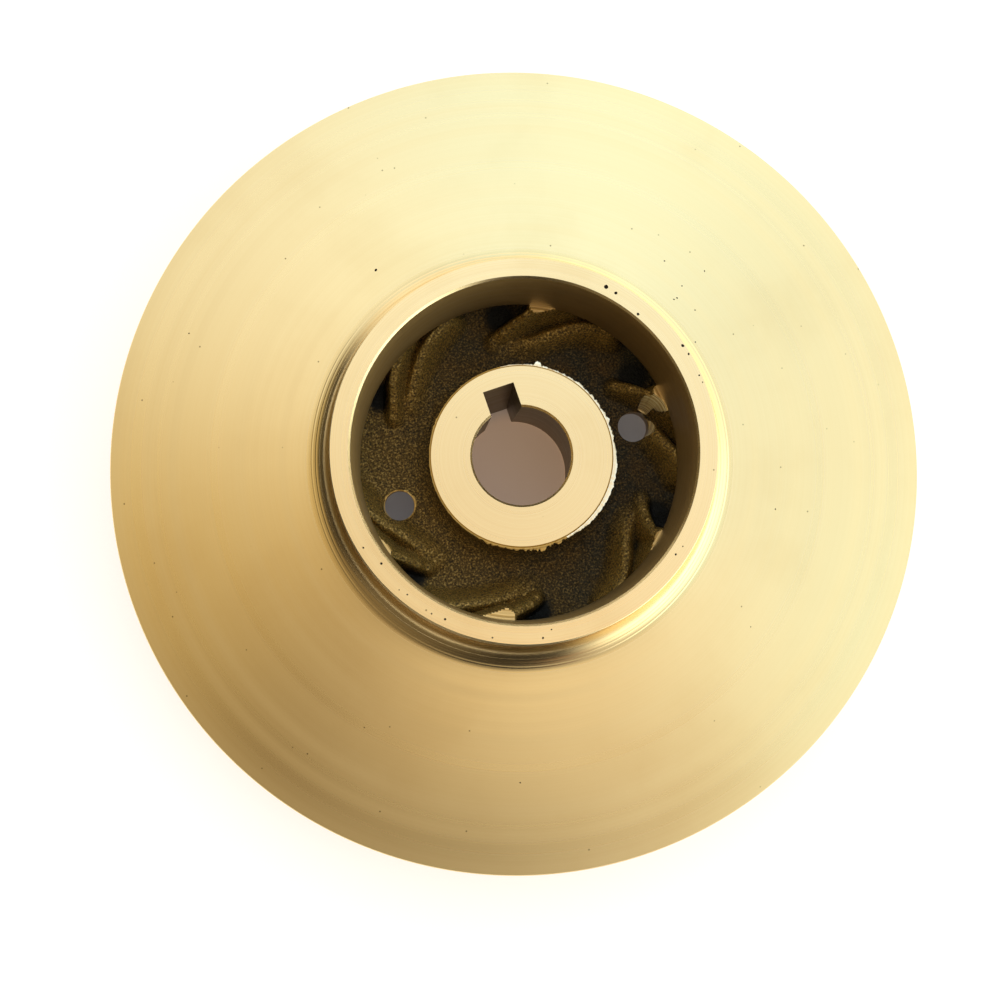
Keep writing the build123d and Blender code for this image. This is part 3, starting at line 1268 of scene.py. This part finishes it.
    def cast_floor(self) -> bpy.types.Object:
        """The floor and the hub's side as one rough skin, bored off flat at the throat.

        Returns:
            The closed skin. Its "sheltered" values tell how much shade is painted on each place,
            and its "worn" values how golden it is, rubbed and painted as light.
        """
        s = self.sizes
        rows = self.rows()
        ridges = [(ridge, ridge.crest()) for ridge in self.ridges()]
        shape = bmesh.new()
        shade_share = shape.verts.layers.float.new("painted_shade")
        worn_and_lit = shape.verts.layers.float.new("worn_and_lit")
        rings = []
        for column in range(self.columns):
            turn = TURN * column / self.columns
            across, along = math.cos(turn), math.sin(turn)
            near = [
                (ridge, crest) for ridge, crest in ridges
                if any(cx * across + cy * along > self.near_from for cx, cy, _ in crest)
            ]
            ring = []
            for radius, height, weight in rows:
                x, y = radius * across, radius * along
                lift = 0.0
                if weight:
                    total = 1.0
                    for ridge, crest in near:
                        rise = ridge.rise(crest, x, y, height)
                        if rise > 0:
                            total += math.exp(rise / self.blend) - 1
                    lift = self.blend * math.log(total) * weight
                vert = shape.verts.new((x * MM, y * MM, (height + lift) * MM))
                vert[shade_share] = self.shade(x, y, lift)
                vert[worn_and_lit] = self.wear(x, y, lift)
                ring.append(vert)
            for radius in (self.cast_reach, s.hub_radius - self.skin_bite):
                place = (radius * across * MM, radius * along * MM,
                         (s.floor_height - self.skin_depth) * MM)
                ring.append(shape.verts.new(place))
            rings.append(ring)
        close_ring(shape, rings)
        self.roughen([vert for ring in rings for vert in ring[1:-3]])
        self.trim(shape)
        return to_piece("cast_waterway", shape, [self.finishes.cast, self.finishes.trimmed])

    def trim(self, shape: BMesh) -> None:
        """Bores the vane tips off flat at the bottom of the eye.

        Args:
            shape: The skin, whose faces there take the second finish.
        """
        s = self.sizes
        hub_side, tips_from, level = s.hub_radius + 3, 26, s.throat - 0.004
        for vert in shape.verts:
            if vert.co.xy.length > hub_side * MM:
                vert.co.z = min(vert.co.z, s.throat * MM)
        for face in shape.faces:
            low = min(vert.co.z for vert in face.verts) / MM
            if low > level and face.calc_center_median().xy.length > tips_from * MM:
                face.material_index = 1

    def shade(self, x: float, y: float, lift: float) -> float:
        """How much shade is painted on a place of the floor, in the passages' corners.

        Args:
            x: Where, in millimetres.
            y: Where, in millimetres.
            lift: How far the ridges lift the place above the floor.

        Returns:
            A share from 0 to 1.
        """
        kept = 0.0
        for nose in self.noses:
            radius, turn, reach = nose.shade_spot
            away = math.dist((x, y), polar(radius, turn)) / reach
            kept = max(kept, 1 - away * away)
        low = min(1.0, max(0.0, 1 - lift / self.dark_height))
        return max(0.0, kept) * low

    def wear(self, x: float, y: float, lift: float) -> float:
        """How golden a place of the floor is: rubbed golden high on the ridges, and painted
        golden as painted light on one side.

        Args:
            x: Where, in millimetres.
            y: Where, in millimetres.
            lift: How far the ridges lift the place above the floor.

        Returns:
            A share from 0 to 1.
        """
        # Painted light: the side away from this direction is painted more golden.
        turn = math.radians(self.lit_from)
        side = 0.5 - 0.5 * (x * math.cos(turn) + y * math.sin(turn)) / 34
        return min(1.0, max(0.0, lift / self.worn_height) + 0.7 * max(0.0, side) ** 2)

    def roughen(self, verts: Sequence[BMVert]) -> None:
        """Gives a skin of vertices the swells and grains that sand leaves.

        Args:
            verts: The vertices, each of which moves along its own normal.
        """
        moves = []
        for vert in verts:
            vert.normal_update()
            moved = sum(ripple(vert.co, width, seed) * most for width, seed, most in self.grains)
            moves.append(vert.normal * moved * MM)
        for vert, move in zip(verts, moves):
            vert.co += move


@dataclass
class TornEdge:
    """A ragged rim of metal that a tool pushed over a cast edge.

    Attributes:
        name: The piece's name.
        centre: The middle of the edge, in millimetres.
        radius: The edge's radius.
        height: The height of the edge.
        spread: The usual width of the rim.
        stretches: Where it is wider: the direction and half the span of each stretch, in
            degrees, and the width it adds.
        seed: Shifts the pattern.
        pressed: Where it was pressed over and kept a smooth edge, in the same way.
        shade_finish: The darker finish painted as shade on the stretch away from the light.
        shaded_span: The direction and half the span of that stretch, in degrees.
    """

    name: str
    finish: bpy.types.Material
    centre: Pair
    radius: float
    height: float
    spread: float
    stretches: tuple[Triple, ...]
    seed: float
    thickness: float = 0.35
    segments: int = 900
    pressed: tuple[Triple, ...] = ()
    shade_finish: bpy.types.Material | None = None
    shaded_span: Pair = (0.0, 0.0)

    @staticmethod
    def added(stretches: Sequence[Triple], direction: float) -> float:
        """What some stretches add to the rim's width.

        Args:
            stretches: The direction, half the span and the added width of each.
            direction: The direction from the middle, in radians.

        Returns:
            The added width, in millimetres.
        """
        total = 0.0
        for middle, span, most in stretches:
            away = turn_between(math.degrees(direction), middle)
            total += most * max(0.0, 1 - (away / span) ** 2)
        return total

    def width(self, direction: float) -> float:
        """Works out how wide the rim is.

        Args:
            direction: The direction from the middle, in radians.

        Returns:
            The width there, in millimetres.
        """
        spot = Vector((math.cos(direction), math.sin(direction), 0.0)) * self.radius * MM
        torn = 0.6 + 0.75 * ripple(spot, 1.1, self.seed) + 0.5 * ripple(spot, 0.45, -self.seed)
        slow = 0.75 + 0.5 * ripple(spot, 5.0, self.seed + 4)
        ragged = (self.spread + self.added(self.stretches, direction)) * torn * slow
        return max(0.02, ragged) + self.added(self.pressed, direction)

    def build(self) -> list[bpy.types.Object]:
        """Builds the rim.

        Returns:
            Its one piece.
        """
        made = bmesh.new()
        rows = []
        for segment in range(self.segments):
            direction = TURN * segment / self.segments
            width = self.width(direction)
            spot = Vector((math.cos(direction), math.sin(direction), 0.0)) * self.radius * MM
            lift = 0.12 * ripple(spot, 0.7, self.seed + 8)
            thick = self.thickness * (0.7 + 0.5 * ripple(spot, 0.9, self.seed + 2))
            # Out from the edge and up: under it, over it, out to the torn lip and back.
            section = (
                (-0.25, -thick), (-0.2, -0.02), (width * 0.35, 0.05 + lift * 0.5),
                (width, -0.1 + lift), (width * 0.8, -thick * 0.7 + lift), (0.0, -thick - 0.3),
            )
            rows.append(
                [
                    made.verts.new(
                        (
                            (self.centre[0] + (self.radius + out) * math.cos(direction)) * MM,
                            (self.centre[1] + (self.radius + out) * math.sin(direction)) * MM,
                            (self.height + up) * MM,
                        )
                    )
                    for out, up in section
                ]
            )
        middle, span = self.shaded_span
        close_ring(
            made, rows,
            lambda segment, _: int(turn_between(360 * segment / self.segments, middle) < span),
        )
        slots = [self.finish, self.shade_finish or self.finish]
        return [to_piece(self.name, made, slots, sharp_deg=50)]


# ---- the room ------------------------------------------------------------------------------


@dataclass(frozen=True)
class Viewpoint:
    """The camera: above the eye, a little to one side of the axis, in millimetres."""

    place: Triple = (-24.859, -26.113, 309.738)
    right: Triple = (0.945017, -0.325071, 0.035663)
    up: Triple = (0.321506, 0.943481, 0.080477)
    lens: float = 39.6
    film: float = 36.0

    def build(self) -> bpy.types.Object:
        """Builds the camera and makes it the scene's own.

        Returns:
            The camera.
        """
        data = bpy.data.cameras.new("viewpoint")
        data.lens = self.lens
        data.sensor_width = self.film
        data.sensor_fit = "AUTO"
        data.clip_start = 0.01
        data.clip_end = 20.0
        camera = bpy.data.objects.new("viewpoint", data)
        right, up = Vector(self.right).normalized(), Vector(self.up)
        back = right.cross(up).normalized()
        turned = Matrix((right, back.cross(right), back)).transposed().to_4x4()
        camera.matrix_world = Matrix.Translation(Vector(self.place) * MM) @ turned
        bpy.context.scene.collection.objects.link(camera)
        bpy.context.scene.camera = camera
        return camera


@dataclass(frozen=True)
class Glow:
    """A soft lobe of the room's light in one direction.

    Attributes:
        bearing: Its direction round the axis, in degrees from +X.
        tilt: How far it leans out from straight above, in degrees.
        spread: The angle from its middle at which it fades out, in degrees.
        strength: What it adds to the room's light.
        colour: Its colour.
    """

    bearing: float
    tilt: float
    spread: float
    strength: float
    colour: str = "#ffffff"


@dataclass(frozen=True)
class Room:
    """The room round the part: dim even light with broad lobes, and a darker side."""

    level: float = 0.04
    colour: str = "#fff4e2"
    glows: tuple[Glow, ...] = (
        Glow(0.0, 0.0, 40.0, 0.33, "#ffe2be"),
        Glow(200.0, 3.0, 16.0, 0.15, "#fff0dc"),
        Glow(232.0, 22.0, 16.0, 0.25, "#fff4dc"),
        Glow(215.0, 80.0, 34.0, 0.14, "#ffe9c0"),
        Glow(250.0, 22.0, 20.0, 0.45, "#fffae5"),
        Glow(295.0, 22.0, 28.0, 0.50, "#ffe5ce"),
        Glow(0.0, 42.0, 46.0, 0.70, "#c8deff"),
        Glow(45.0, 42.0, 46.0, 0.74, "#d0edff"),
        Glow(90.0, 42.0, 46.0, 1.12, "#c8e0ff"),
        Glow(135.0, 42.0, 46.0, 0.52, "#ffedb5"),
        Glow(180.0, 42.0, 46.0, 0.20, "#ffe1aa"),
        Glow(315.0, 42.0, 46.0, 0.45, "#f2fffa"),
        Glow(285.0, 62.0, 26.0, 0.28, "#ffb580"),
        Glow(0.0, 75.0, 46.0, 0.36, "#fff5cd"),
        Glow(45.0, 75.0, 46.0, 0.30, "#e7fff3"),
        Glow(315.0, 75.0, 46.0, 1.14, "#c4edff"),
        Glow(303.0, 88.0, 38.0, 1.62, "#fffdf4"),
        Glow(355.0, 88.0, 38.0, 1.34, "#fffdf4"),
        Glow(45.0, 88.0, 38.0, 1.34, "#fffdf4"),
        Glow(95.0, 88.0, 34.0, 1.24, "#fffdf4"),
    )

    def build(self) -> None:
        """Builds the world's light, and shows white where the camera looks past the floor."""
        world = bpy.data.worlds.new("room")
        bpy.context.scene.world = world
        world.use_nodes = True
        world.node_tree.nodes.clear()
        node = partial(add_node, world.node_tree)
        direction = node("TexCoord").outputs["Generated"]
        red, green, blue, _ = linear(self.colour)
        total = node(
            "CombineXYZ", {0: red * self.level, 1: green * self.level, 2: blue * self.level}
        )
        for glow in self.glows:
            lean, turn = math.radians(glow.tilt), math.radians(glow.bearing)
            middle = (
                math.sin(lean) * math.cos(turn), math.sin(lean) * math.sin(turn), math.cos(lean)
            )
            near = node("VectorMath", {0: direction, 1: middle}, operation="DOT_PRODUCT")
            share = node(
                "MapRange",
                {"Value": near, "From Min": math.cos(math.radians(glow.spread)),
                 "To Max": glow.strength},
                interpolation_type="SMOOTHSTEP",
            )
            tint = node(
                "VectorMath", {0: linear(glow.colour)[:3], "Scale": share}, operation="SCALE"
            )
            total = node("VectorMath", {0: total, 1: tint}, operation="ADD")
        light = node("Background", {0: total})
        white = node("Background", {0: linear("#ffffff")})
        seen = node("LightPath").outputs["Is Camera Ray"]
        both = node("MixShader", {0: seen, 1: light, 2: white})
        node("OutputWorld", {"Surface": both})


@dataclass(frozen=True)
class PaperFloor:
    """The sheet of white paper that the part stands on, which keeps the part's shadow."""

    half_width: float = 0.24
    colour: str = "#cdc5ba"
    # Painted light on the paper by distance from the axis, in millimetres: a warm painted glow
    # for light bounced off the brass in the bore, painted shade under the part, white clear of
    # it.
    painted_light_by_radius: tuple[tuple[float, str, float], ...] = (
        (15.0, "#ffcda6", 0.20), (21.0, "#f4ecf0", 0.07), (60.0, "#f4ecf0", 0.06),
        (112.0, "#fffcf8", 0.62),
    )

    def build(self) -> bpy.types.Object:
        """Builds the floor.

        Returns:
            The floor.
        """
        made, tree = new_material("white_paper")
        node = partial(add_node, tree)
        place = node("TexCoord").outputs["Object"]
        fibre = node("TexNoise", {"Vector": place, "Scale": 1 / (0.8 * MM), "Detail": 3.0})
        pressed = node("Bump", {"Strength": 0.2, "Distance": 0.02 * MM, "Height": fibre})
        paper = node("BsdfDiffuse", {"Color": linear(self.colour), "Normal": pressed})
        # Under the part this painted shade and warm glow show through its bores.
        away = node("VectorMath", {0: place}, operation="LENGTH")
        reach = self.painted_light_by_radius[-1][0]
        share = node("MapRange", {"Value": away, "From Max": reach * MM})
        shown = node("ValToRGB", {"Fac": share})
        stops = shown.color_ramp.elements
        while len(stops) < len(self.painted_light_by_radius):
            stops.new(0.5)
        for stop, (radius, colour, strength) in zip(stops, self.painted_light_by_radius):
            stop.position = radius / reach
            stop.color = (*(value * strength for value in linear(colour)[:3]), 1.0)
        path = node("LightPath")
        seen = path.outputs["Is Camera Ray"]
        for name in ("Is Glossy Ray", "Is Transmission Ray"):
            seen = node("Math", {0: seen, 1: path.outputs[name]}, operation="MAXIMUM")
        glow = node("Emission", {"Color": shown, "Strength": seen})
        both = node("AddShader", {0: paper, 1: glow})
        node("OutputMaterial", {"Surface": both})
        shape = bmesh.new()
        bmesh.ops.create_grid(shape, x_segments=4, y_segments=4, size=self.half_width)
        floor = to_piece("floor", shape, [made])
        return floor


class Impeller:
    """The whole impeller: its sub-assemblies, built in order."""

    def __init__(self) -> None:
        """Sets the shared sizes and builds the finishes."""
        self.sizes = Sizes()
        self.finishes = Finishes()

    def build(self) -> list[bpy.types.Object]:
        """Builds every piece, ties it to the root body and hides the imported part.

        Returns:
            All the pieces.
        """
        s, f = self.sizes, self.finishes
        builders = [
            FrontShroud(s, f),
            BackShroud(s, f),
            Hub(s, f),
            Waterway(s, f, VaneSet(s)),
            TornEdge(
                "hub_burr", f.torn, (0.0, 0.0), s.hub_radius - 0.1, s.hub_length - 0.35,
                spread=0.3,
                stretches=((-106.0, 33.0, 1.25), (-30.0, 55.0, 0.2), (30.0, 40.0, 0.4),
                           (60.5, 3.5, 1.2), (33.0, 4.0, 0.4)),
                pressed=((-45.0, 36.0, 0.8), (-5.0, 30.0, 0.25)),
                # Painted highlight on the side towards the light, painted shade on the far side.
                shade_finish=f.lifted, shaded_span=(182.0, 98.0),
                seed=3.0,
            ),
            TornEdge(
                "left_hole_burr", f.lifted, (-s.hole_circle, 0.0), s.hole_radius + 0.05,
                s.floor_height + 0.5, spread=0.5,
                stretches=((0.0, 80.0, 0.45), (140.0, 60.0, 0.3)), seed=11.0, segments=300,
            ),
        ]
        pieces = []
        for builder in builders:
            for piece in builder.build():
                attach(piece, "root")
                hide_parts("impeller")
                LOG.info("%s: %d faces", piece.name, len(piece.data.polygons))
                pieces.append(piece)
        return pieces


def main() -> None:
    """Builds the camera, the part, the floor and the room."""
    logging.basicConfig(level=logging.INFO, format="%(name)s: %(message)s")
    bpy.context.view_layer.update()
    bpy.context.scene.view_settings.view_transform = "Standard"
    Viewpoint().build()
    Impeller().build()
    PaperFloor().build()
    Room().build()


if __name__ == "__main__":
    main()
